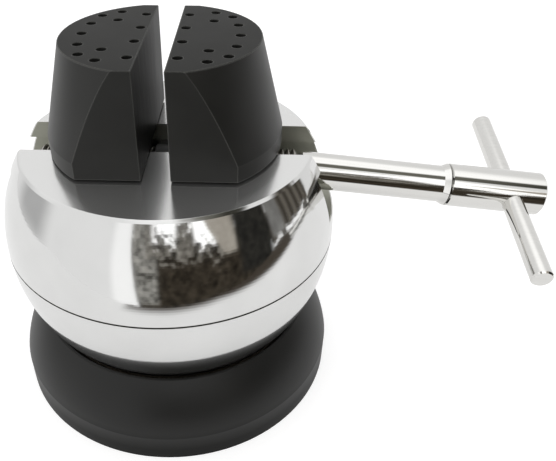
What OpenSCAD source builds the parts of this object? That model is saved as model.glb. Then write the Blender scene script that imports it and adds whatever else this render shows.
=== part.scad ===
// Ball vise: a two-part steel ball that tilts in a rubber ring, with two
// half-cone jaws driven by one left-and-right-hand screw and a T-handle key.
// Millimetres. Origin: middle of the base ring's underside. +Z is up, +X runs
// along the lead screw towards the key, and the jaws open along X.

/* [Ball] */
// Diameter of the ball
ball_d = 115; // [112:0.5:117]
// Clearance between the ball and the bench
ball_lift = 2.5; // [1:0.5:4]
// Height of the flat top above the ball's centre
flat_h = 31.5; // [31:0.5:34]
// Width of the seam between the two halves
seam_gap = 0.6; // [0.4:0.1:1]
// Chamfer round the flat top
rim_chamfer = 0.3; // [0.2:0.1:1.5]

/* [T slot] */
// Width of the slot's neck, at the top
neck_w = 20; // [18:0.5:22]
// Depth of the neck below the flat top
neck_h = 6; // [5:0.5:7]
// Width of the slot below the neck
wide_w = 31; // [28:0.5:34]
// Depth of the slot's floor below the flat top
slot_depth = 22.5; // [21:0.5:23]

/* [Jaws] */
// Gap between the jaws as they stand
jaw_gap = 8.9; // [5:0.1:20]
// Height of a jaw above the flat top
jaw_h = 34.7; // [30:0.1:40]
// Radius of the jaws' cone at its top edge
jaw_top_r = 30.7; // [28:0.1:32]
// Radius of the upright skirt at the foot of the cone
jaw_skirt_r = 37.9; // [36:0.1:38.5]
// Height of the upright skirt
jaw_skirt_h = 5.3; // [4:0.1:8]
// Distance of the front and back flats from the middle
jaw_flat_y = 29.1; // [27:0.1:29.5]
// Chamfer along the top edge of a jaw
jaw_chamfer = 0.2; // [0.1:0.1:1]
// Clearance between a jaw and the flat top
jaw_lift = 0.8; // [0.3:0.1:1]
// Diameter of a pin hole, an eighth of an inch
pin_d = 3.2; // [3:0.1:3.5]
// Depth of a pin hole
pin_depth = 12; // [8:1:16]

/* [Lead screw] */
// Outer diameter of the thread, half an inch
screw_d = 12.7; // [12:0.1:13]
// Depth of the screw's axis below the flat top
screw_depth = 10.5; // [10:0.1:11]
// Length of the screw from end to end
screw_len = 87; // [84:1:90]
// Size of the hexagon socket in each end, across its flats
hex_socket = 8; // [7.8:0.1:8.5]
// Diameter of the plain neck in the middle of the screw
neck_d = 8.6; // [8:0.1:9]

/* [Key] */
// Diameter of the key's shaft
key_d = 12.4; // [12:0.1:12.7]
// Diameter of the key's head
head_d = 14.4; // [13:0.1:15]
// Length of the key's head
head_len = 32.2; // [28:0.2:36]
// Length of the shaft between the screw and the head
shaft_len = 50.8; // [40:0.1:60]
// Length of the flare where the shaft meets the head
flare_len = 2.3; // [1:0.1:3]
// Angle by which the loose key hangs below the screw's axis
key_droop = 5.6; // [3:0.1:6]
// Diameter of the cross bar
bar_d = 6.7; // [6:0.1:7.5]
// Length of the cross bar
bar_len = 80; // [60:1:100]
// Turn of the cross bar about the key, from level
bar_turn = 9; // [0:1:45]

/* [Base ring] */
// Radius of the ring at the bench
base_r = 59.3; // [58:0.1:62]
// Height of the plain band at the bottom
band_h = 10; // [7:0.5:12]
// Radius of the ring's top edge
base_top_r = 49.8; // [49.5:0.1:51]
// Height of the ring's top edge
base_top_h = 28.3; // [27.5:0.1:28.5]
// Radius of the bulge of the ring's wall
bulge_r = 36.5; // [25:0.5:60]
// Radius of the hole through the ring
base_hole_r = 37; // [36.5:0.1:38]

/* [Hidden] */
$fn = 96;
eps = 0.01;      // overlap that keeps a cut open
run = 0.05;      // radial clearance of a running fit
seat = 0.02;     // radial clearance of a pressed or bolted fit
ball_r = ball_d / 2;
ball_h = ball_r + ball_lift;
top_z = ball_h + flat_h;
axis_z = top_z - screw_depth;
floor_z = top_z - slot_depth;
ledge_z = top_z - neck_h;
lower_top_z = ball_h - seam_gap / 2;
upper_low_z = ball_h + seam_gap / 2;

// spindle and thrust bearing, between the two halves
flange_r = 33;
flange_t = 4;
bolt_ring_r = 27.8;
spindle_r = 8;
stud_r = 7;
bush_r = 11;
race_in_r = 15.2;
race_out_r = 23.5;
race_t = 3.2;
bearing_h = 11;
roll_r = 3;
pitch_r = 19.3;
roll_count = 16;
bearing_z = upper_low_z - bearing_h;
roll_z = bearing_z + bearing_h / 2;
m4_r = 2;

// underside of the lower half
pocket_z = ball_h - 36;
pocket_r = 17;
washer_t = 2;
spring_t = 1.2;
spring_rise = 0.8;
nut_t = 5;
nut_af = 21;
nut_z = pocket_z - washer_t - 2 * (spring_t + spring_rise);

// drag screw, at the back of the lower half
drag_z = ball_h - 22;
drag_r = 4;
drag_len = 12;
drag_free = 0.4;
drag_out = sqrt(ball_r * ball_r - 22 * 22) - 1.5;

// jaws
foot_inset = 4.2;
foot_len = 22.3;
counterbore_r = 7.75;
counterbore_len = 8;
// one entry per pair of pin holes: distance from the gripping face, distance from the middle
pin_pairs = [[2.6, 6.2], [2.6, 19.2], [10.9, 13.2], [11, 21.6], [16.7, 17.4], [18.7, 9.4]];
pin_end = 19.6;

// middle bearing of the lead screw
saddle_t = 8;
saddle_w = wide_w - 0.4;
saddle_screw_y = 11;
boss_r = 7;
socket_depth = 8;

// key, along its own axis from the pivot in the screw's socket
pivot_x = screw_len / 2 - socket_depth / 2;
tip_af = 7;
tip_back = 3;
shaft_z0 = 4.75;
head_z0 = shaft_z0 + shaft_len;
bar_z = head_z0 + head_len - 10.4;
spigot_r = 4;
spigot_len = 12;

// base ring and liner
liner_top_z = ball_h - 36;
liner_low_z = ball_h - 46;
liner_t = 3;
ball_play = 0.8;

// centre of the circle that bulges the ring's wall through its two edges
function wall_centre() =
    let (p = [base_r, band_h], q = [base_top_r, base_top_h], d = q - p, len = norm(d),
         out = [d[1], -d[0]] / len)
    (p + q) / 2 - out * sqrt(bulge_r * bulge_r - len * len / 4);

module ring(r_in, r_out, z, h) {
    translate([0, 0, z]) difference() {
        cylinder(r = r_out, h = h);
        translate([0, 0, -eps]) cylinder(r = r_in, h = h + 2 * eps);
    }
}

module ball_at_centre(r) {
    translate([0, 0, ball_h]) sphere(r = r, $fn = 180);
}

// a rod along X on the screw's axis; a hexagonal one has corners at its top and bottom
module rod_x(r, x0, x1, fn = 96) {
    translate([x0, 0, axis_z]) rotate([0, 90, 0]) cylinder(r = r, h = x1 - x0, $fn = fn);
}

// countersunk screw with its flat head at the bottom, pointing up
module countersunk(r, len, head_r) {
    cylinder(r1 = head_r, r2 = r, h = head_r - r);
    cylinder(r = r, h = len);
}

module base_ring() {
    c = wall_centre();
    color("#343432") difference() {
        rotate_extrude($fn = 180) difference() {
            union() {
                square([base_r, band_h]);
                intersection() {
                    translate([0, band_h - eps]) square([base_r + 5, base_top_h - band_h + eps]);
                    translate(c) circle(r = bulge_r, $fn = 180);
                }
            }
            translate([-1, -1]) square([base_hole_r + 1, base_top_h + 2]);
        }
        ball_at_centre(ball_r + ball_play);
        intersection() {
            ball_at_centre(ball_r + liner_t + run);
            translate([0, 0, liner_low_z - run])
                cylinder(r = ball_r, h = liner_top_z - liner_low_z + 2 * run);
        }
    }
}

module seat_liner() {
    color("#5a5650") intersection() {
        difference() {
            ball_at_centre(ball_r + liner_t);
            ball_at_centre(ball_r + run);
        }
        translate([0, 0, liner_low_z]) cylinder(r = ball_r, h = liner_top_z - liner_low_z);
    }
}

module lower_ball() {
    color("#d8d8d6") difference() {
        intersection() {
            ball_at_centre(ball_r);
            cylinder(r = ball_r + 1, h = lower_top_z);
        }
        translate([0, 0, bearing_z]) cylinder(r = race_out_r + seat, h = bearing_h);
        cylinder(r = bush_r + seat, h = ball_h);
        translate([0, 0, -eps]) cylinder(r = pocket_r, h = pocket_z + eps);
        translate([0, 0, drag_z]) rotate([-90, 0, 0]) cylinder(r = drag_r + run, h = ball_r);
    }
}

module spindle_bush() {
    color("#b08d57") difference() {
        ring(spindle_r + run, bush_r, pocket_z, bearing_z - pocket_z);
        translate([0, 0, drag_z]) rotate([-90, 0, 0]) cylinder(r = drag_r + run, h = ball_r);
    }
}

module thrust_washer() {
    color("#b08d57") ring(stud_r + 0.2, pocket_r - 1, pocket_z - washer_t, washer_t);
}

// flat washer with a groove that the bearing's balls run in
module race(r_in, r_out, z) {
    color("#b9b9b6") difference() {
        ring(r_in, r_out, z, race_t);
        translate([0, 0, roll_z]) rotate_extrude() translate([pitch_r, 0])
            circle(r = roll_r + run, $fn = 48);
    }
}

// the lower race fits the recess of the lower half
module lower_race() {
    race(race_in_r + 0.5, race_out_r, bearing_z);
}

// the upper race fits the shoulder of the spindle
module upper_race() {
    race(race_in_r, race_out_r - 0.5, bearing_z + bearing_h - race_t);
}

module at_rolls() {
    for (i = [0:roll_count - 1])
        rotate([0, 0, 360 * (i + 0.5) / roll_count]) translate([pitch_r, 0, roll_z]) children();
}

module bearing_cage() {
    color("#c2a15a") difference() {
        ring(race_in_r - 0.2, race_out_r - 0.4, roll_z - 1, 2);
        at_rolls() translate([0, 0, -3]) cylinder(r = roll_r + run, h = 6, $fn = 48);
    }
}

module bearing_balls() {
    color("#cfcfcd") at_rolls() sphere(r = roll_r, $fn = 48);
}

module upper_ball() {
    rim_r = sqrt(ball_r * ball_r - flat_h * flat_h);
    color("#d8d8d6") difference() {
        intersection() {
            ball_at_centre(ball_r);
            translate([0, 0, upper_low_z]) cylinder(r = ball_r + 1, h = top_z - upper_low_z);
            translate([0, 0, top_z - ball_r]) cylinder(r1 = rim_r - rim_chamfer + ball_r,
                                                       r2 = rim_r - rim_chamfer, h = ball_r);
        }
        translate([-ball_r, -neck_w / 2, floor_z + 1]) cube([ball_d, neck_w, ball_r]);
        translate([-ball_r, -wide_w / 2, floor_z]) cube([ball_d, wide_w, ledge_z - floor_z]);
        translate([0, 0, upper_low_z - eps]) cylinder(r = flange_r + seat, h = flange_t + eps);
        for (a = [45:90:315]) rotate([0, 0, a])
            translate([bolt_ring_r, 0, upper_low_z]) cylinder(r = m4_r + seat, h = 8.5, $fn = 32);
        for (s = [-1, 1]) translate([0, s * saddle_screw_y, upper_low_z]) {
            cylinder(r = m4_r + 0.1, h = floor_z - upper_low_z + 1, $fn = 32);
            cylinder(r = 3.6, h = flange_t + 2.8, $fn = 32);
        }
    }
}

module spindle() {
    stud_low = nut_z - 2 * nut_t - 0.5;
    color("#a9a9a6") difference() {
        union() {
            translate([0, 0, upper_low_z]) cylinder(r = flange_r, h = flange_t);
            translate([0, 0, upper_low_z - race_t]) cylinder(r = race_in_r - seat, h = race_t + eps);
            translate([0, 0, pocket_z + 0.5])
                cylinder(r = spindle_r, h = upper_low_z - pocket_z - 0.5);
            translate([0, 0, stud_low]) cylinder(r = stud_r, h = pocket_z - stud_low + 1);
        }
        for (a = [45:90:315]) rotate([0, 0, a]) translate([bolt_ring_r, 0, upper_low_z - eps]) {
            cylinder(r1 = 2 * m4_r + seat, r2 = m4_r + seat, h = m4_r + eps, $fn = 32);
            cylinder(r = m4_r + seat, h = flange_t + 1, $fn = 32);
        }
    }
}

module flange_screws() {
    color("#6d6d6b") for (a = [45:90:315]) rotate([0, 0, a])
        translate([bolt_ring_r, 0, upper_low_z]) difference() {
            countersunk(m4_r, 8, 2 * m4_r, $fn = 32);
            translate([0, 0, -eps]) cylinder(r = 1.4, h = 1.5, $fn = 6);
        }
}

module disc_springs() {
    color("#8d8d8a") for (s = [0, 1]) translate([0, 0, nut_z + s * 2 * (spring_t + spring_rise)])
        mirror([0, 0, s]) rotate_extrude()
            polygon([[stud_r + 0.2, 0], [14, spring_rise], [14, spring_rise + spring_t],
                     [stud_r + 0.2, spring_t]]);
}

module spindle_nuts() {
    color("#8d8d8a") for (k = [0, 1]) difference() {
        translate([0, 0, nut_z - (k + 1) * nut_t]) cylinder(d = nut_af / cos(30), h = nut_t - 0.1, $fn = 6);
        translate([0, 0, nut_z - (k + 1) * nut_t - eps])
            cylinder(r = stud_r + seat, h = nut_t + 1);
    }
}

module drag_screw() {
    color("#5b5b59") translate([0, drag_out - drag_len, drag_z]) rotate([-90, 0, 0]) difference() {
        cylinder(r = drag_r, h = drag_len);
        translate([0, 0, drag_len - 5]) cylinder(d = 4 / cos(30), h = 6, $fn = 6);
    }
}

module drag_shoe() {
    color("#c2a15a") difference() {
        translate([0, 0, drag_z]) rotate([-90, 0, 0]) cylinder(r = drag_r, h = drag_out - drag_len);
        translate([0, 0, drag_z - 10]) cylinder(r = spindle_r + drag_free, h = 20);
    }
}

module lead_screw() {
    end_x = screw_len / 2;
    color("#77756f") difference() {
        union() {
            for (s = [-1, 1]) mirror([s > 0 ? 0 : 1, 0, 0]) {
                rod_x(screw_d / 2, saddle_t / 2 + 0.1, end_x - 1);
                translate([end_x - 1, 0, axis_z]) rotate([0, 90, 0])
                    cylinder(r1 = screw_d / 2, r2 = screw_d / 2 - 1, h = 1);
            }
            rod_x(neck_d / 2, -saddle_t / 2 - 1, saddle_t / 2 + 1);
        }
        for (s = [-1, 1]) mirror([s > 0 ? 0 : 1, 0, 0])
            rod_x(hex_socket / 2 / cos(30), end_x - socket_depth, end_x + 1, fn = 6);
    }
}

module screw_saddle() {
    color("#3b3b39") difference() {
        translate([-saddle_t / 2, -saddle_w / 2, floor_z])
            cube([saddle_t, saddle_w, axis_z - floor_z - 0.05]);
        rod_x(neck_d / 2 + run, -saddle_t, saddle_t);
        for (s = [-1, 1]) translate([0, s * saddle_screw_y, floor_z - 1])
            cylinder(r = m4_r + 0.1, h = 20, $fn = 32);
    }
}

module saddle_cap() {
    color("#3b3b39") difference() {
        union() {
            translate([-saddle_t / 2, -saddle_w / 2, axis_z + 0.05])
                cube([saddle_t, saddle_w, ledge_z - axis_z - 0.15]);
            intersection() {
                rod_x(boss_r, -saddle_t / 2, saddle_t / 2);
                translate([-saddle_t, -boss_r, axis_z + 1]) cube([2 * saddle_t, 2 * boss_r, boss_r]);
            }
        }
        rod_x(neck_d / 2 + run, -saddle_t, saddle_t);
        for (s = [-1, 1]) translate([0, s * saddle_screw_y, axis_z - 1])
            cylinder(r = m4_r + seat, h = 4.5, $fn = 32);
    }
}

module saddle_screws() {
    head_z = upper_low_z + flange_t + 0.15;
    color("#6d6d6b") for (s = [-1, 1]) translate([0, s * saddle_screw_y, head_z]) difference() {
        union() {
            cylinder(r = 3.5, h = 2.6, $fn = 32);
            cylinder(r = m4_r, h = axis_z + 3 - head_z, $fn = 32);
        }
        translate([0, 0, -eps]) cylinder(d = 2.5 / cos(30), h = 1.6, $fn = 6);
    }
}

// one jaw on the +X side: half of a turned cone, cut flat front and back, on a T foot
module jaw_half() {
    body_z = top_z + jaw_lift;
    skirt_top = top_z + jaw_skirt_h + jaw_lift;
    jaw_top = top_z + jaw_h;
    face_x = jaw_gap / 2;
    foot_x = face_x + foot_inset;
    cone_h = jaw_top - skirt_top;
    c = jaw_chamfer;
    rim_r = jaw_top_r + c * (jaw_skirt_r - jaw_top_r) / cone_h;
    difference() {
        union() {
            intersection() {
                rotate_extrude($fn = 180) polygon([[0, body_z], [jaw_skirt_r, body_z],
                    [jaw_skirt_r, skirt_top], [rim_r, jaw_top - c], [rim_r - c, jaw_top], [0, jaw_top]]);
                rotate([90, 0, 0]) linear_extrude(2 * jaw_flat_y, center = true)
                    polygon([[face_x, 0], [ball_r, 0], [ball_r, jaw_top + 1], [face_x + c + 1, jaw_top + 1],
                             [face_x, jaw_top - c]]);
            }
            translate([foot_x, -neck_w / 2 + 0.1, ledge_z - 1])
                cube([foot_len, neck_w - 0.2, body_z - ledge_z + 1 + eps]);
            translate([foot_x, -wide_w / 2 + 0.15, floor_z + 0.3])
                cube([foot_len, wide_w - 0.3, ledge_z - floor_z - 0.4]);
        }
        rod_x(screw_d / 2 + run, foot_x - 1, foot_x + foot_len + 1);
        rod_x(counterbore_r, foot_x + foot_len - counterbore_len, foot_x + foot_len + 1);
        for (p = pin_pairs, s = [-1, 1])
            translate([face_x + p[0], s * p[1], jaw_top - pin_depth])
                cylinder(d = pin_d, h = pin_depth + 1, $fn = 32);
        translate([face_x + pin_end, 0, jaw_top - pin_depth])
            cylinder(d = pin_d, h = pin_depth + 1, $fn = 32);
    }
}

module jaw_right() {
    color("#2f2f2d") jaw_half();
}

module jaw_left() {
    color("#2f2f2d") mirror([1, 0, 0]) jaw_half();
}

// the key's own frame: Z along the key, from its pivot in the screw's socket
module key_frame() {
    translate([pivot_x, 0, axis_z]) rotate([0, 90 + key_droop, 0]) children();
}

module key_shaft() {
    color("#d2d2d0") key_frame() {
        translate([0, 0, -tip_back]) cylinder(d = tip_af / cos(30), h = tip_back + shaft_z0 + 1, $fn = 6);
        translate([0, 0, shaft_z0]) cylinder(r1 = key_d / 2 - 0.6, r2 = key_d / 2, h = 0.6);
        translate([0, 0, shaft_z0 + 0.6]) cylinder(r = key_d / 2, h = shaft_len - 0.6);
        translate([0, 0, head_z0 - flare_len])
            cylinder(r1 = key_d / 2, r2 = head_d / 2 - 0.1, h = flare_len - 0.4);
        translate([0, 0, head_z0 - 0.4])
            cylinder(r1 = head_d / 2 - 0.1, r2 = key_d / 2, h = 0.4);
        translate([0, 0, head_z0 - eps]) cylinder(r = spigot_r, h = spigot_len);
    }
}

module key_head() {
    color("#d2d2d0") key_frame() difference() {
        translate([0, 0, head_z0]) union() {
            cylinder(r1 = head_d / 2 - 0.5, r2 = head_d / 2, h = 0.5);
            translate([0, 0, 0.5]) cylinder(r = head_d / 2, h = head_len - 1.1);
            translate([0, 0, head_len - 0.6]) cylinder(r1 = head_d / 2, r2 = head_d / 2 - 0.6, h = 0.6);
        }
        translate([0, 0, head_z0 - eps]) cylinder(r = spigot_r + seat, h = spigot_len + 0.5);
        translate([0, 0, bar_z]) rotate([0, 0, bar_turn]) rotate([90, 0, 0])
            cylinder(r = bar_d / 2 + seat, h = 3 * head_d, center = true);
    }
}

module key_bar() {
    edge = 0.5;
    color("#cfcfcd") key_frame() translate([0, 0, bar_z]) rotate([0, 0, bar_turn]) rotate([90, 0, 0]) {
        cylinder(r = bar_d / 2, h = bar_len - 2 * edge, center = true);
        for (s = [0, 1]) mirror([0, 0, s]) translate([0, 0, bar_len / 2 - edge])
            cylinder(r1 = bar_d / 2, r2 = bar_d / 2 - edge, h = edge);
    }
}

base_ring();
seat_liner();
lower_ball();
spindle_bush();
thrust_washer();
lower_race();
bearing_cage();
bearing_balls();
upper_race();
upper_ball();
spindle();
flange_screws();
disc_springs();
spindle_nuts();
drag_screw();
drag_shoe();
lead_screw();
screw_saddle();
saddle_cap();
saddle_screws();
jaw_left();
jaw_right();
key_shaft();
key_head();
key_bar();
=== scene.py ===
import math

import bmesh
import bpy
from mathutils import Matrix, Vector


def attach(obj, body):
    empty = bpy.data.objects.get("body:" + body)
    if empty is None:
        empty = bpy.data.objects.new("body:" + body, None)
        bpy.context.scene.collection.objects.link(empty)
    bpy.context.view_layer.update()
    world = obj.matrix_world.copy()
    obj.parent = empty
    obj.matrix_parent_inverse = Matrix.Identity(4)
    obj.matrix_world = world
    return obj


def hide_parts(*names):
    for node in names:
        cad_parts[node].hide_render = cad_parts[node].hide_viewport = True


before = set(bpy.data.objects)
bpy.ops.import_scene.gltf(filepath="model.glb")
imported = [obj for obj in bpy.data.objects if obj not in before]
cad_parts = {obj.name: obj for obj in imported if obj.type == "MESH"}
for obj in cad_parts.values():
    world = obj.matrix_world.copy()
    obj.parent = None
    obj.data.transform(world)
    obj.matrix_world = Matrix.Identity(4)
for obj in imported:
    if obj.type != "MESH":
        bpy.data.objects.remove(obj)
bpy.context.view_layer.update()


# Base ring. A heavy ring moulded in black rubber, with a bulged wall over a plain upright
# band. It stands on the bench by its own weight and grips the ball's underside.

def linear(hex_code):
    """An sRGB hex colour as the linear RGBA that a socket takes."""
    out = []
    for i in (1, 3, 5):
        c = int(hex_code[i:i + 2], 16) / 255
        out.append(c / 12.92 if c <= 0.04045 else ((c + 0.055) / 1.055) ** 2.4)
    return (*out, 1.0)


def fill(tree, node, inputs):
    """Gives a node's inputs, by name or number, a value, a hex colour or another node's output."""
    for name, value in inputs.items():
        if isinstance(value, bpy.types.NodeSocket):
            tree.links.new(value, node.inputs[name])
        else:
            node.inputs[name].default_value = linear(value) if isinstance(value, str) else value


def add(tree, kind, inputs=None, **settings):
    """Adds one node with its settings, values and links."""
    node = tree.nodes.new(kind)
    for name, value in settings.items():
        setattr(node, name, value)
    fill(tree, node, inputs or {})
    return node


def new_finish(name):
    """An empty material, its tree, its shader and the Object coordinates."""
    material = bpy.data.materials.new(name)
    material.use_nodes = True
    tree = material.node_tree
    tree.nodes.clear()
    shader = add(tree, "ShaderNodeBsdfPrincipled")
    add(tree, "ShaderNodeOutputMaterial", {"Surface": shader.outputs["BSDF"]})
    return material, tree, shader, add(tree, "ShaderNodeTexCoord").outputs["Object"]


def dress(node, material):
    """Gives a CAD node its finish."""
    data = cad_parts[node].data
    data.materials.clear()
    data.materials.append(material)


BAND_Z = 0.004
BULGE_Z = 0.012

# Moulded natural rubber: nearly black, dull, with a fine grain from the mould. It gives a
# soft grey sheen at glancing angles, and handling leaves it a little lighter in places.
rubber, tree, shader, place = new_finish("moulded black rubber")
patches = add(tree, "ShaderNodeTexNoise", {"Vector": place, "Scale": 38.0, "Detail": 3.0})
tint = add(tree, "ShaderNodeMix", {0: patches.outputs["Fac"], 6: "#0e0e0d", 7: "#181816"}, data_type="RGBA")
dull = add(tree, "ShaderNodeMapRange", {"Value": patches.outputs["Fac"], "To Min": 0.36, "To Max": 0.48})
# mould grain of about 0.6 mm
grain = add(tree, "ShaderNodeTexNoise", {"Vector": place, "Scale": 1600.0, "Detail": 2.0})
relief = add(tree, "ShaderNodeBump", {"Height": grain.outputs["Fac"], "Strength": 0.25, "Distance": 0.00005})
# the plain band at the bottom is duller than the bulge
upward = add(tree, "ShaderNodeSeparateXYZ", {0: place})
gleam = add(tree, "ShaderNodeMapRange", {"Value": upward.outputs["Z"], "From Min": BAND_Z,
                                         "From Max": BULGE_Z, "To Min": 0.12, "To Max": 0.38})
fill(tree, shader, {"Base Color": tint.outputs[2], "Roughness": dull.outputs[0], "Normal": relief.outputs[0],
                    "Specular IOR Level": gleam.outputs[0]})
dress("base_ring", rubber)


# Seat liner. A ring of woven friction lining let into the base ring. The ball rubs on it,
# which holds the ball at the angle that it is set to.

# Woven brake lining: grey-brown, dull, with a fine crossed weave of 0.8 mm.
lining, tree, shader, place = new_finish("woven friction lining")
weave = add(tree, "ShaderNodeTexChecker", {"Vector": place, "Color1": "#4b443b", "Color2": "#5c5448",
                                           "Scale": 1250.0})
fibres = add(tree, "ShaderNodeTexNoise", {"Vector": place, "Scale": 2200.0, "Detail": 3.0})
relief = add(tree, "ShaderNodeBump", {"Height": fibres.outputs["Fac"], "Strength": 0.5, "Distance": 0.0001})
fill(tree, shader, {"Base Color": weave.outputs["Color"], "Roughness": 0.9, "Normal": relief.outputs[0]})
dress("seat_liner", lining)


# Ball. Two turned steel halves that meet at a thin seam. The outside is polished and
# bright-plated, the flat top is finely ground, and the T-slot inside is left as milled.

BALL_Z = 0.060
BALL_R = 0.0575
FLAT_Z = 0.0915

# Bright nickel over polished steel: a clean mirror with faint turned rings and a little
# unevenness from hand polishing, which breaks up what it reflects. Where the plating
# stops, in the slot and on the joint faces, the steel is dull and greenish grey.
ball_plate, tree, shader, place = new_finish("bright nickel on turned steel")
centred = add(tree, "ShaderNodeMapping", {"Vector": place, "Location": (0, 0, -BALL_Z)})
radius = add(tree, "ShaderNodeVectorMath", {0: centred.outputs[0]}, operation="LENGTH")
outside = add(tree, "ShaderNodeMapRange", {"Value": radius.outputs["Value"],
                                           "From Min": BALL_R - 0.0005, "From Max": BALL_R - 0.0003})
upward = add(tree, "ShaderNodeSeparateXYZ", {0: place})
on_top = add(tree, "ShaderNodeMapRange", {"Value": upward.outputs["Z"],
                                          "From Min": FLAT_Z - 0.00012, "From Max": FLAT_Z - 0.00006})
plated = add(tree, "ShaderNodeMath", {0: outside.outputs[0], 1: on_top.outputs[0]}, operation="MAXIMUM")
clouds = add(tree, "ShaderNodeTexNoise", {"Vector": place, "Scale": 60.0, "Detail": 4.0})
bright = add(tree, "ShaderNodeMix", {0: clouds.outputs["Fac"], 6: "#dadad9", 7: "#eaeae9"}, data_type="RGBA")
milled = add(tree, "ShaderNodeMix", {0: clouds.outputs["Fac"], 6: "#a3a499", 7: "#c2c2b7"}, data_type="RGBA")
ground = add(tree, "ShaderNodeMix", {0: on_top.outputs[0], 6: bright.outputs[2], 7: "#eeeeed"},
             data_type="RGBA")
colour = add(tree, "ShaderNodeMix", {0: plated.outputs[0], 6: milled.outputs[2], 7: ground.outputs[2]},
             data_type="RGBA")
# painted shade darkens the steel a little within 0.5 mm of the seam and widens its dark line
off_seam = add(tree, "ShaderNodeMath", {0: upward.outputs["Z"], 1: BALL_Z}, operation="SUBTRACT")
from_seam = add(tree, "ShaderNodeMath", {0: off_seam.outputs[0]}, operation="ABSOLUTE")
seam_shade = add(tree, "ShaderNodeMapRange", {"Value": from_seam.outputs[0], "From Min": 0.0005,
                                          "From Max": 0.0003, "To Max": 0.3})
edged = add(tree, "ShaderNodeMix", {0: seam_shade.outputs[0], 6: colour.outputs[2], 7: "#5c5a50"},
            data_type="RGBA")
# polished outside 0.08, ground flat 0.18, milled slot 0.6
plate_gloss = add(tree, "ShaderNodeMix", {0: on_top.outputs[0], 2: 0.08, 3: 0.18}, data_type="FLOAT")
gloss = add(tree, "ShaderNodeMix", {0: plated.outputs[0], 2: 0.6, 3: plate_gloss.outputs[0]},
            data_type="FLOAT")
# turned rings drawn 0.9 mm apart, coarser than the real 0.1 mm so that they show, and the
# unevenness of hand polishing about 2.4 mm across
rings = add(tree, "ShaderNodeTexWave", {"Vector": centred.outputs[0], "Scale": 350.0, "Distortion": 1.5,
                                        "Detail": 2.0}, wave_type="BANDS", bands_direction="Z")
polish = add(tree, "ShaderNodeTexNoise", {"Vector": centred.outputs[0], "Scale": 420.0, "Detail": 3.0})
ringed = add(tree, "ShaderNodeBump", {"Height": rings.outputs["Fac"], "Strength": 0.06,
                                      "Distance": 0.00002})
uneven = add(tree, "ShaderNodeBump", {"Height": polish.outputs["Fac"], "Normal": ringed.outputs[0],
                                      "Strength": 0.12, "Distance": 0.00004})
# the ground flat scatters a little light like paper does
metal = add(tree, "ShaderNodeMapRange", {"Value": on_top.outputs[0], "To Min": 1.0, "To Max": 0.93})
fill(tree, shader, {"Base Color": edged.outputs[2], "Roughness": gloss.outputs[0],
                    "Normal": uneven.outputs[0], "Metallic": metal.outputs[0]})
for node in ("lower_ball", "upper_ball"):
    dress(node, ball_plate)


# Spindle and what clamps it. A flanged steel stud bolted under the upper half, guided by a
# bronze bush and pulled down by two disc springs under a pair of thin nuts.

# Turned steel: grey, oiled, with rings across the turning axis, drawn 0.6 mm apart.
turned_steel, tree, shader, place = new_finish("turned steel, oiled")
rings = add(tree, "ShaderNodeTexWave", {"Vector": place, "Scale": 500.0, "Distortion": 1.0, "Detail": 2.0},
            wave_type="BANDS", bands_direction="Z")
tint = add(tree, "ShaderNodeMix", {0: rings.outputs["Fac"], 6: "#a8a7a2", 7: "#bdbcb7"}, data_type="RGBA")
relief = add(tree, "ShaderNodeBump", {"Height": rings.outputs["Fac"], "Strength": 0.2, "Distance": 0.00003})
fill(tree, shader, {"Base Color": tint.outputs[2], "Roughness": 0.3, "Normal": relief.outputs[0],
                    "Metallic": 1.0})
for node in ("spindle", "disc_springs", "spindle_nuts"):
    dress(node, turned_steel)

# Bearing bronze: warm yellow-brown, satin, slightly uneven where it is worn.
bronze, tree, shader, place = new_finish("turned bearing bronze")
wear = add(tree, "ShaderNodeTexNoise", {"Vector": place, "Scale": 240.0, "Detail": 4.0})
tint = add(tree, "ShaderNodeMix", {0: wear.outputs["Fac"], 6: "#a9803f", 7: "#c79c58"}, data_type="RGBA")
relief = add(tree, "ShaderNodeBump", {"Height": wear.outputs["Fac"], "Strength": 0.15, "Distance": 0.00005})
fill(tree, shader, {"Base Color": tint.outputs[2], "Roughness": 0.34, "Normal": relief.outputs[0],
                    "Metallic": 1.0})
for node in ("spindle_bush", "thrust_washer", "bearing_cage", "drag_shoe"):
    dress(node, bronze)

# Black oxide on small screws: nearly black, satin, thin enough for steel to show through.
blacked_screw, tree, shader, place = new_finish("black oxide on screws")
thin = add(tree, "ShaderNodeTexNoise", {"Vector": place, "Scale": 700.0, "Detail": 3.0})
tint = add(tree, "ShaderNodeMix", {0: thin.outputs["Fac"], 6: "#1b1b1c", 7: "#333334"}, data_type="RGBA")
relief = add(tree, "ShaderNodeBump", {"Height": thin.outputs["Fac"], "Strength": 0.2, "Distance": 0.00003})
fill(tree, shader, {"Base Color": tint.outputs[2], "Roughness": 0.4, "Normal": relief.outputs[0],
                    "Metallic": 0.6})
for node in ("flange_screws", "saddle_screws", "drag_screw"):
    dress(node, blacked_screw)


# Thrust bearing. Two ground races with a ring of balls between them in a bronze cage. It
# carries the upper half and what is clamped in the jaws.

# Ground bearing steel: bright, with a grinding pattern round the axis, drawn 0.4 mm apart.
ground_steel, tree, shader, place = new_finish("ground bearing steel")
grinding = add(tree, "ShaderNodeTexWave", {"Vector": place, "Scale": 700.0, "Distortion": 0.6,
                                           "Detail": 2.0}, wave_type="RINGS", rings_direction="Z")
tint = add(tree, "ShaderNodeMix", {0: grinding.outputs["Fac"], 6: "#c6c6c4", 7: "#d9d9d7"}, data_type="RGBA")
relief = add(tree, "ShaderNodeBump", {"Height": grinding.outputs["Fac"], "Strength": 0.1,
                                      "Distance": 0.00002})
fill(tree, shader, {"Base Color": tint.outputs[2], "Roughness": 0.18, "Normal": relief.outputs[0],
                    "Metallic": 1.0})
for node in ("lower_race", "upper_race", "bearing_balls"):
    dress(node, ground_steel)


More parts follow.
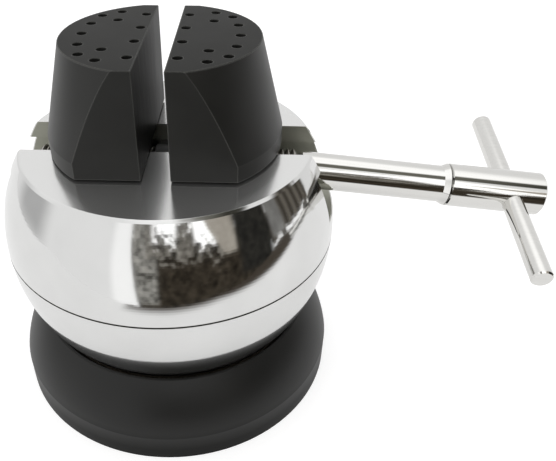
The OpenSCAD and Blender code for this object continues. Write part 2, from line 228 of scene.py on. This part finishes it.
# Lead screw. Half-inch steel, cut with threads of opposite hands on the two sides of a
# plain neck, with a hexagon socket in each end. The saddle holds it by the neck.

SCREW_Z = 0.081
SCREW_R = 0.00635
SCREW_END = 0.0435
PITCH = 0.001954
THREAD_DEPTH = 0.00115
NECK_R = 0.0043
SHOULDER = 0.0041
SOCKET_DEPTH = 0.008
SOCKET_HALF = 0.004
AROUND = 64
THREAD_STEPS = 232
TURN_STEPS = 49
WELD = 1e-6


def screw_core():
    """The neck, its shoulders and the socketed ends: a shell that the threads close."""
    bm = bmesh.new()
    root = SCREW_R - THREAD_DEPTH

    def circle(x, r):
        return [bm.verts.new((x, r * math.cos(2 * math.pi * i / AROUND),
                              SCREW_Z + r * math.sin(2 * math.pi * i / AROUND))) for i in range(AROUND)]

    def join(a, b, flip):
        for i in range(AROUND):
            ring = [a[i], a[(i + 1) % AROUND], b[(i + 1) % AROUND], b[i]]
            bm.faces.new(ring[::-1] if flip else ring)

    left, right = circle(-SHOULDER, NECK_R), circle(SHOULDER, NECK_R)
    join(left, right, True)
    join(circle(-SHOULDER, root), left, True)
    join(right, circle(SHOULDER, root), True)
    for side in (-1, 1):
        rim = circle(side * SCREW_END, root)
        # the socket's outline has as many points as the rim, so that the two join evenly
        mouth, bottom = [], []
        for i in range(AROUND):
            a = 2 * math.pi * i / AROUND
            step = (a + math.pi / 6) % (math.pi / 3) - math.pi / 6
            r = SOCKET_HALF / math.cos(step)
            y, z = r * math.cos(a), SCREW_Z + r * math.sin(a)
            mouth.append(bm.verts.new((side * SCREW_END, y, z)))
            bottom.append(bm.verts.new((side * (SCREW_END - SOCKET_DEPTH), y, z)))
        join(rim, mouth, side < 0)
        join(mouth, bottom, side < 0)
        bm.faces.new(bottom if side > 0 else bottom[::-1])
    bmesh.ops.recalc_face_normals(bm, faces=bm.faces[:])
    mesh = bpy.data.meshes.new("screw_core")
    bm.to_mesh(mesh)
    bm.free()
    return mesh


def thread_tree(sizes):
    """A geometry tree that lays a thread of each hand along X and joins both to the core."""
    tree = bpy.data.node_groups.new("cut thread", "GeometryNodeTree")
    face = tree.interface
    face.new_socket("Geometry", in_out="INPUT", socket_type="NodeSocketGeometry")
    names = {}
    for name, value in sizes.items():
        socket = face.new_socket(name, in_out="INPUT", socket_type="NodeSocketFloat")
        socket.default_value = value
        names[name] = socket.identifier
    socket = face.new_socket("Finish", in_out="INPUT", socket_type="NodeSocketMaterial")
    names["Finish"] = socket.identifier
    face.new_socket("Geometry", in_out="OUTPUT", socket_type="NodeSocketGeometry")
    given = add(tree, "NodeGroupInput").outputs

    halves = []
    for side in (-1.0, 1.0):
        sheet = add(tree, "GeometryNodeMeshGrid", {"Size X": 1.0, "Size Y": 1.0,
                                                   "Vertices X": THREAD_STEPS, "Vertices Y": TURN_STEPS})
        spot = add(tree, "ShaderNodeSeparateXYZ", {0: add(tree, "GeometryNodeInputPosition").outputs[0]})
        sums = {name: given[name] for name in sizes}
        sums["across"], sums["round"] = spot.outputs["X"], spot.outputs["Y"]
        # each sum's name, what it does and with what: a number or the name of another
        for name, operation, *terms in (
                ("share", "ADD", "across", 0.5),
                ("part turn", "ADD", "round", 0.5),
                ("turn", "MULTIPLY", "part turn", 2 * math.pi),
                ("length", "SUBTRACT", "Outer end", "Inner end"),
                ("along", "MULTIPLY", "share", "length"),
                ("x", "ADD", "Inner end", "along"),
                # the same climb on both sides, one mirrored in X, gives threads of opposite hands
                ("climb", "MULTIPLY", "part turn", "Hand"),
                ("pitches", "DIVIDE", "x", "Pitch"),
                ("threads", "SUBTRACT", "pitches", "climb"),
                ("phase", "FRACT", "threads"),
                ("twice", "MULTIPLY_ADD", "phase", 2.0, -1.0),
                ("flank", "ABSOLUTE", "twice"),
                ("sloped", "MULTIPLY_ADD", "flank", 1.3, -0.15),
                ("not below", "MAXIMUM", "sloped", 0.0),
                ("groove", "MINIMUM", "not below", 1.0),
                ("cut", "MULTIPLY", "groove", "Depth"),
                ("crest", "SUBTRACT", "Radius", "cut"),
                ("root", "SUBTRACT", "Radius", "Depth"),
                # the thread runs out to its root at both ends
                ("run in", "ADD", "root", "along"),
                ("left over", "SUBTRACT", "Outer end", "x"),
                ("run out", "ADD", "root", "left over"),
                ("ends", "MINIMUM", "run in", "run out"),
                ("r", "MINIMUM", "crest", "ends"),
                ("cosine", "COSINE", "turn"),
                ("sine", "SINE", "turn"),
                ("y", "MULTIPLY", "r", "cosine"),
                ("z", "MULTIPLY_ADD", "r", "sine", "Axis height"),
                ("sided", "MULTIPLY", "x", side)):
            inputs = {i: sums.get(term, term) for i, term in enumerate(terms)}
            sums[name] = add(tree, "ShaderNodeMath", inputs, operation=operation).outputs[0]
        point = add(tree, "ShaderNodeCombineXYZ", {"X": sums["sided"], "Y": sums["y"], "Z": sums["z"]})
        rolled = add(tree, "GeometryNodeSetPosition", {"Geometry": sheet.outputs[0],
                                                       "Position": point.outputs[0]})
        closed = add(tree, "GeometryNodeMergeByDistance", {"Geometry": rolled.outputs[0], "Distance": WELD})
        if side > 0:
            closed = add(tree, "GeometryNodeFlipFaces", {"Mesh": closed.outputs[0]})
        smooth = add(tree, "GeometryNodeSetShadeSmooth", {"Geometry": closed.outputs[0]})
        halves.append(smooth.outputs[0])
    join = add(tree, "GeometryNodeJoinGeometry")
    for part in (given["Geometry"], *halves):
        fill(tree, join, {0: part})
    welded = add(tree, "GeometryNodeMergeByDistance", {"Geometry": join.outputs[0], "Distance": WELD})
    real = add(tree, "GeometryNodeRealizeInstances", {0: welded.outputs[0]})
    finished = add(tree, "GeometryNodeSetMaterial", {"Geometry": real.outputs[0],
                                                     "Material": given["Finish"]})
    add(tree, "NodeGroupOutput", {"Geometry": finished.outputs[0]})
    return tree, names


# Cut steel thread: grey, bright on the crests and darker towards the roots.
thread_steel, tree, shader, place = new_finish("cut steel thread, oiled")
off_axis = add(tree, "ShaderNodeMapping", {"Vector": place, "Location": (0, 0, -SCREW_Z), "Scale": (0, 1, 1)})
from_axis = add(tree, "ShaderNodeVectorMath", {0: off_axis.outputs[0]}, operation="LENGTH")
crest = add(tree, "ShaderNodeMapRange", {"Value": from_axis.outputs["Value"],
                                         "From Min": SCREW_R - THREAD_DEPTH, "From Max": SCREW_R})
tint = add(tree, "ShaderNodeMix", {0: crest.outputs[0], 6: "#4a4640", 7: "#b4b1aa"}, data_type="RGBA")
oil = add(tree, "ShaderNodeTexNoise", {"Vector": place, "Scale": 300.0, "Detail": 4.0})
relief = add(tree, "ShaderNodeBump", {"Height": oil.outputs["Fac"], "Strength": 0.2, "Distance": 0.00005})
fill(tree, shader, {"Base Color": tint.outputs[2], "Roughness": 0.32, "Normal": relief.outputs[0],
                    "Metallic": 1.0})

screw = bpy.data.objects.new("threaded_screw", screw_core())
bpy.context.scene.collection.objects.link(screw)
cutter = screw.modifiers.new("thread", "NODES")
# Known fault: Hand 1.0 draws the right-hand thread on the key's side, while the record's
# joints turn as if it were on the other side. Hand -1.0 would draw it there.
thread_sizes = {"Inner end": SHOULDER, "Outer end": SCREW_END, "Radius": SCREW_R, "Pitch": PITCH,
                "Depth": THREAD_DEPTH, "Hand": 1.0, "Axis height": SCREW_Z}
group, sockets = thread_tree(thread_sizes)
cutter.node_group = group
for name, value in (*thread_sizes.items(), ("Finish", thread_steel)):
    cutter[sockets[name]] = value
bpy.context.view_layer.update()
made = screw.evaluated_get(bpy.context.evaluated_depsgraph_get())
plain = bpy.data.meshes.new_from_object(made)
screw.modifiers.clear()
screw.data = plain
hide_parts("lead_screw")
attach(screw, "screw")


# Screw saddle. A steel block in two parts, bolted across the T-slot from below, which
# clasps the lead screw's neck and takes its thrust.

# Black oxide on milled steel: near black, satin, with straight tool marks 0.5 mm apart.
blacked_block, tree, shader, place = new_finish("black oxide on milled steel")
strokes = add(tree, "ShaderNodeTexWave", {"Vector": place, "Scale": 600.0, "Distortion": 2.0, "Detail": 2.0},
              wave_type="BANDS", bands_direction="X")
tint = add(tree, "ShaderNodeMix", {0: strokes.outputs["Fac"], 6: "#262625", 7: "#353533"}, data_type="RGBA")
relief = add(tree, "ShaderNodeBump", {"Height": strokes.outputs["Fac"], "Strength": 0.15,
                                      "Distance": 0.00004})
fill(tree, shader, {"Base Color": tint.outputs[2], "Roughness": 0.45, "Normal": relief.outputs[0]})
for node in ("screw_saddle", "saddle_cap"):
    dress(node, blacked_block)


# Jaws. Two half-cones of hardened steel on T-shaped feet, turned and milled, then given
# a black oxide finish. Holding pins go in the holes on top.

GRIP_X = 0.00445
JAW_TOP_Z = 0.1262

# Black oxide on turned jaws: charcoal, satin, paler along the edges as a painted highlight,
# with fine upright tool marks on the cut faces.
jaw_black, tree, shader, place = new_finish("black oxide on hardened steel")
cloudy = add(tree, "ShaderNodeTexNoise", {"Vector": place, "Scale": 90.0, "Detail": 4.0})
tint = add(tree, "ShaderNodeMix", {0: cloudy.outputs["Fac"], 6: "#1d1d1b", 7: "#282826"}, data_type="RGBA")
# an edge is where the rounded normal leaves the true one
rounded = add(tree, "ShaderNodeBevel", {"Radius": 0.0005}, samples=4)
true_face = add(tree, "ShaderNodeNewGeometry")
apart = add(tree, "ShaderNodeVectorMath", {0: rounded.outputs[0], 1: true_face.outputs["Normal"]},
            operation="DOT_PRODUCT")
edge = add(tree, "ShaderNodeMapRange", {"Value": apart.outputs["Value"], "From Min": 0.998,
                                        "From Max": 0.93, "To Min": 0.0, "To Max": 0.8})
# painted highlight: the edges take a paler colour
edge_highlight = add(tree, "ShaderNodeMix", {0: edge.outputs[0], 6: tint.outputs[2], 7: "#6c6c69"},
             data_type="RGBA")
# upright tool marks drawn 0.7 mm apart
marks = add(tree, "ShaderNodeMapping", {"Vector": place, "Scale": (1400, 1400, 60)})
streaks = add(tree, "ShaderNodeTexNoise", {"Vector": marks.outputs[0], "Scale": 1.0, "Detail": 3.0})
relief = add(tree, "ShaderNodeBump", {"Height": streaks.outputs["Fac"], "Normal": rounded.outputs[0],
                                      "Strength": 0.18, "Distance": 0.00004})
satin = add(tree, "ShaderNodeMapRange", {"Value": cloudy.outputs["Fac"], "To Min": 0.36, "To Max": 0.48})
# the milled gripping faces are duller, with streaks of their own
spot = add(tree, "ShaderNodeSeparateXYZ", {0: place})
from_middle = add(tree, "ShaderNodeMath", {0: spot.outputs["X"]}, operation="ABSOLUTE")
gripping = add(tree, "ShaderNodeMapRange", {"Value": from_middle.outputs[0], "From Min": GRIP_X + 0.0002,
                                            "From Max": GRIP_X + 0.00005})
streaked = add(tree, "ShaderNodeMapRange", {"Value": streaks.outputs["Fac"], "To Min": 0.4, "To Max": 0.62})
sheen = add(tree, "ShaderNodeMix", {0: gripping.outputs[0], 2: satin.outputs[0], 3: streaked.outputs[0]},
            data_type="FLOAT")
# oil darkens the tops
oiled_top = add(tree, "ShaderNodeMapRange", {"Value": spot.outputs["Z"], "From Min": JAW_TOP_Z - 0.0002,
                                             "From Max": JAW_TOP_Z - 0.0001, "To Min": 0.34, "To Max": 0.08})
fill(tree, shader, {"Base Color": edge_highlight.outputs[2], "Roughness": sheen.outputs[0],
                    "Normal": relief.outputs[0], "Specular IOR Level": oiled_top.outputs[0]})
for node in ("jaw_left", "jaw_right"):
    dress(node, jaw_black)


# T-handle key. A plated steel shaft with a hexagon end, a slightly thicker head pressed
# on it, and a cross bar pressed through the head. It sits loosely in the screw.

KEY_FROM = Vector((0.0395, 0, 0.081))
KEY_DROOP = math.radians(5.6)
HEAD_FROM = 0.05555

# Bright nickel on turned bar: a clean mirror with faint lines along the bar from drawing,
# drawn 1.1 mm apart, coarser than the real ones so that they show.
key_plate, tree, shader, place = new_finish("bright nickel on drawn bar")
level = add(tree, "ShaderNodeMapping", {"Vector": place, "Location": KEY_FROM, "Rotation": (0, KEY_DROOP, 0)},
            vector_type="TEXTURE")
drawn = add(tree, "ShaderNodeMapping", {"Vector": level.outputs[0], "Scale": (40, 900, 900)})
lines = add(tree, "ShaderNodeTexNoise", {"Vector": drawn.outputs[0], "Scale": 1.0, "Detail": 3.0})
tint = add(tree, "ShaderNodeMix", {0: lines.outputs["Fac"], 6: "#dcdbd8", 7: "#e8e7e4"}, data_type="RGBA")
# painted shade: a thin dark ring at the joint where the head is pressed on the shaft
spot = add(tree, "ShaderNodeSeparateXYZ", {0: level.outputs[0]})
off_joint = add(tree, "ShaderNodeMath", {0: spot.outputs["X"], 1: HEAD_FROM}, operation="SUBTRACT")
from_joint = add(tree, "ShaderNodeMath", {0: off_joint.outputs[0]}, operation="ABSOLUTE")
# the dark ring is painted shade
oiled = add(tree, "ShaderNodeMapRange", {"Value": from_joint.outputs[0], "From Min": 0.0004,
                                         "From Max": 0.0002, "To Max": 0.6})
jointed = add(tree, "ShaderNodeMix", {0: oiled.outputs[0], 6: tint.outputs[2], 7: "#6b6960"},
              data_type="RGBA")
relief = add(tree, "ShaderNodeBump", {"Height": lines.outputs["Fac"], "Strength": 0.08,
                                      "Distance": 0.00003})
fill(tree, shader, {"Base Color": jointed.outputs[2], "Roughness": 0.07, "Normal": relief.outputs[0],
                    "Metallic": 1.0})
for node in ("key_shaft", "key_head", "key_bar"):
    dress(node, key_plate)


# Bench. A white sheet of card, evenly bright with a light of its own, that ends a little in
# front of the vise and at the boards beside it.

SHEET_FRONT = -0.185
SHEET_BACK = 2.0
SHEET_LEFT = -0.45
SHEET_RIGHT = 0.8
SHEET_DROP = 0.00005
SHADE_DEPTH = 0.045
sheet_mesh = bpy.data.meshes.new("white_sheet")
sheet_mesh.from_pydata([(SHEET_LEFT, SHEET_FRONT, 0), (SHEET_RIGHT, SHEET_FRONT, 0),
                        (SHEET_RIGHT, SHEET_BACK, 0), (SHEET_LEFT, SHEET_BACK, 0)], [], [(0, 1, 2, 3)])
sheet = bpy.data.objects.new("white_sheet", sheet_mesh)
sheet.location.z = -SHEET_DROP
bpy.context.scene.collection.objects.link(sheet)

# White card: matt and nearly even. Most of its light is its own, so that the shadow on it
# stays faint. Its front edge lies in shade, deeper to the right, as the plating shows.
card, tree, shader, place = new_finish("white card")
spot = add(tree, "ShaderNodeSeparateXYZ", {0: place})
fleck = add(tree, "ShaderNodeTexNoise", {"Vector": place, "Scale": 30.0})
tint = add(tree, "ShaderNodeMix", {0: fleck.outputs["Fac"], 6: "#f6f6f6", 7: "#f9f9f9"}, data_type="RGBA")
beyond = add(tree, "ShaderNodeMath", {0: spot.outputs["X"], 1: 0.1}, operation="MAXIMUM")
nearer = add(tree, "ShaderNodeMath", {0: beyond.outputs[0], 1: -0.4, 2: spot.outputs["Y"]},
             operation="MULTIPLY_ADD")
shade_front = add(tree, "ShaderNodeMapRange", {"Value": nearer.outputs[0], "From Min": SHEET_FRONT,
                                               "From Max": SHEET_FRONT - SHADE_DEPTH},
                  interpolation_type="SMOOTHSTEP")
shade_right = add(tree, "ShaderNodeMapRange", {"Value": spot.outputs["X"], "From Min": -0.07,
                                               "From Max": -0.05}, interpolation_type="SMOOTHSTEP")
# the shade is for what the plating mirrors: the card itself is seen plain white
seen = add(tree, "ShaderNodeLightPath")
mirrored = add(tree, "ShaderNodeMath", {0: shade_right.outputs[0], 1: seen.outputs["Is Camera Ray"]},
               operation="SUBTRACT", use_clamp=True)
shade = add(tree, "ShaderNodeMath", {0: shade_front.outputs[0], 1: mirrored.outputs[0]},
            operation="MULTIPLY")
shaded = add(tree, "ShaderNodeMix", {0: shade.outputs[0], 6: tint.outputs[2], 7: "#40382e"},
             data_type="RGBA")
dimmed = add(tree, "ShaderNodeMix", {0: shade.outputs[0], 6: (0.5, 0.5, 0.5, 1), 7: (0.03, 0.025, 0.02, 1)},
             data_type="RGBA")
own = add(tree, "ShaderNodeMapRange", {"Value": seen.outputs["Is Camera Ray"], "To Min": 0.5, "To Max": 0.75})
fill(tree, shader, {"Base Color": dimmed.outputs[2], "Roughness": 0.9, "Specular IOR Level": 0.1,
                    "Emission Color": shaded.outputs[2], "Emission Strength": own.outputs[0]})
sheet_mesh.materials.append(card)


# Room. White boards and a window stand round the vise, and the room in front is dark,
# which gives the polished ball its dark patch. A dark beam runs overhead along the key.

world = bpy.data.worlds.new("light room")
bpy.context.scene.world = world
world.use_nodes = True
tree = world.node_tree
tree.nodes.clear()
where = add(tree, "ShaderNodeTexCoord").outputs["Generated"]
part = add(tree, "ShaderNodeSeparateXYZ", {0: where})
blots = add(tree, "ShaderNodeTexNoise", {"Vector": where, "Scale": 6.0, "Detail": 4.0})
specks = add(tree, "ShaderNodeTexNoise", {"Vector": where, "Scale": 15.0, "Detail": 4.0})
strong = add(tree, "ShaderNodeMapRange", {"Value": specks.outputs["Fac"], "From Min": 0.32, "From Max": 0.68})

# Directions in degrees, round from the key's side and up from the horizon. The ragged one
# wanders up and down, and the last two tell where a ray goes through a level overhead.
DEGREES = 180 / math.pi
ways = {"x": part.outputs["X"], "y": part.outputs["Y"], "z": part.outputs["Z"],
        "specks": specks.outputs["Fac"]}
for name, operation, *terms in (
        ("bearing", "ARCTAN2", "y", "x"),
        ("round", "MULTIPLY", "bearing", DEGREES),
        ("rise", "ARCSINE", "z"),
        ("up", "MULTIPLY", "rise", DEGREES),
        ("speck", "SUBTRACT", "specks", 0.5),
        ("ragged", "MULTIPLY_ADD", "speck", 45.0, "up"),
        ("wave", "SINE", "round"),
        ("stripes", "MULTIPLY_ADD", "wave", 0.5, 0.5),
        ("above", "MAXIMUM", "z", 0.05),
        ("overhead along", "DIVIDE", "x", "above"),
        ("overhead back", "DIVIDE", "y", "above")):
    inputs = {i: ways.get(term, term) for i, term in enumerate(terms)}
    ways[name] = add(tree, "ShaderNodeMath", inputs, operation=operation).outputs[0]


def within(soft, *edges):
    """1 inside a few edges and 0 outside. An edge is a value, its limit and the inner side."""
    inside = 1.0
    for value, limit, side in edges:
        edge = add(tree, "ShaderNodeMapRange", {"Value": value, "From Min": limit - side * soft / 2,
                                                "From Max": limit + side * soft / 2},
                   interpolation_type="SMOOTHSTEP")
        inside = add(tree, "ShaderNodeMath", {0: edge.outputs[0], 1: inside}, operation="MULTIPLY").outputs[0]
    return inside


def grey(level):
    """An even light, where 1 is white."""
    return level, level, level, 1


walls = {}
for name, pattern, dark, light in (
        ("room", strong.outputs[0], "#1d1a15", "#4b443a"),
        ("near wall", strong.outputs[0], "#3f3d39", "#b5b3ad"),
        ("under the window", strong.outputs[0], "#2d2924", "#98948c"),
        ("blind", specks.outputs["Fac"], "#8d867b", "#c6c0b6"),
        ("doorway", strong.outputs[0], "#1d1d1c", "#34332f"),
        ("grey wall", blots.outputs["Fac"], "#454441", "#a3a2a0"),
        ("shelves", ways["stripes"], "#3b3731", "#6d6860")):
    walls[name] = add(tree, "ShaderNodeMix", {0: pattern, 6: dark, 7: light}, data_type="RGBA").outputs[2]

# Each board or opening: its colour, from and to round, from and to up, soft edge, how its
# left and right edges lean, and whether its top and bottom are level or ragged.
view = grey(0.92)
for colour, start, end, low, high, soft, lean_start, lean_end, height in (
        (grey(0.84), 20, 165, -30, 44, 24, 0, 0, "up"),
        (grey(1.3), -200, 200, 54, 100, 16, 0, 0, "up"),
        (grey(0.5), -200, -172, -12, 12, 16, 0, 0, "up"),
        (grey(0.5), 158, 200, -12, 12, 16, 0, 0, "up"),
        (grey(1.14), -121, -100, -40, 40, 6, 0, 0, "up"),
        (walls["room"], -107.5, 24, -3.5, 20, 3, 0.08, 0, "ragged"),
        (walls["room"], -107.5, -20, -90, 20, 3, 0.08, 0, "ragged"),
        (walls["near wall"], -107.5, -93, -25, 33, 4, 0.08, 0, "up"),
        (walls["under the window"], -100, -50, 6, 28, 5, 0, 0, "ragged"),
        (grey(1.4), -96, -54, 27, 45, 5, 0, 0, "ragged"),
        (grey(1.5), -96, -80, 19, 45, 5, 0, 0, "ragged"),
        (grey(1.5), -68, -54, 13, 45, 4, 0, 0, "ragged"),
        (walls["blind"], -48, -42, 3, 30, 3, 0.45, -0.15, "up"),
        (walls["doorway"], -40, -16, -14, 34, 6, 0, 0, "up"),
        (walls["grey wall"], -15, -4, -3, 34, 4, 0, 0, "up"),
        (walls["shelves"], -4, 21, -3, 34, 4, 0, 0, "up"),
        (grey(1.2), -4, 17, -5.5, -3.6, 1.2, 0, 0, "up")):
    first, last = (add(tree, "ShaderNodeMath", {0: ways["up"], 1: lean, 2: ways["round"]},
                       operation="MULTIPLY_ADD").outputs[0] for lean in (lean_start, lean_end))
    shown = within(soft, (first, start, 1), (last, end, -1), (ways[height], low, 1), (ways[height], high, -1))
    view = add(tree, "ShaderNodeMix", {0: shown, 6: view, 7: colour}, data_type="RGBA").outputs[2]

# the beam overhead is darker towards the key's far end
beam = within(0.16, (ways["overhead along"], 0.15, 1), (ways["overhead along"], 1.0, -1),
              (ways["overhead back"], -0.68, 1), (ways["overhead back"], -0.2, -1))
beam_far = add(tree, "ShaderNodeMapRange", {"Value": ways["overhead along"], "From Min": 0.5,
                                            "From Max": 0.75})
beam_colour = add(tree, "ShaderNodeMix", {0: beam_far.outputs[0], 6: "#6f6e66", 7: "#383731"},
                  data_type="RGBA")
view = add(tree, "ShaderNodeMix", {0: beam, 6: view, 7: beam_colour.outputs[2]}, data_type="RGBA")
seen = add(tree, "ShaderNodeLightPath")
backdrop = add(tree, "ShaderNodeMix", {0: seen.outputs["Is Camera Ray"], 6: view.outputs[2], 7: grey(1.0)},
               data_type="RGBA")
sky = add(tree, "ShaderNodeBackground", {"Color": backdrop.outputs[2], "Strength": 1.0})
add(tree, "ShaderNodeOutputWorld", {"Surface": sky.outputs[0]})


# Camera. It stands where the photograph's did, as fitted to the ball's outline and the
# jaws. Its axis meets the picture left of the middle, as if the photograph were cropped.

FRAME_WIDTH = 556
FOCAL_LENGTH = 624.489
PRINCIPAL_X = 225
CAMERA_AT = (0.02748, -0.18536, 0.18932)
YAW, PITCH_DOWN, ROLL = 0.0447, 0.6313, -0.0025
camera_data = bpy.data.cameras.new("photo_camera")
camera_data.sensor_fit = "HORIZONTAL"
camera_data.sensor_width = 36.0
camera_data.lens = FOCAL_LENGTH / FRAME_WIDTH * camera_data.sensor_width
camera_data.shift_x = (FRAME_WIDTH / 2 - PRINCIPAL_X) / FRAME_WIDTH
camera_data.clip_start = 0.01
camera_data.clip_end = 20
look = Vector((-math.sin(YAW) * math.cos(PITCH_DOWN), math.cos(YAW) * math.cos(PITCH_DOWN),
               -math.sin(PITCH_DOWN)))
side = Vector((math.cos(YAW), math.sin(YAW), 0))
up = side.cross(look)
right = math.cos(ROLL) * side + math.sin(ROLL) * up
top = -math.sin(ROLL) * side + math.cos(ROLL) * up
camera = bpy.data.objects.new("photo_camera", camera_data)
camera.matrix_world = Matrix((*((right[i], top[i], -look[i], CAMERA_AT[i]) for i in range(3)), (0, 0, 0, 1)))
bpy.context.scene.collection.objects.link(camera)
bpy.context.scene.camera = camera
bpy.context.scene.view_settings.view_transform = "Standard"
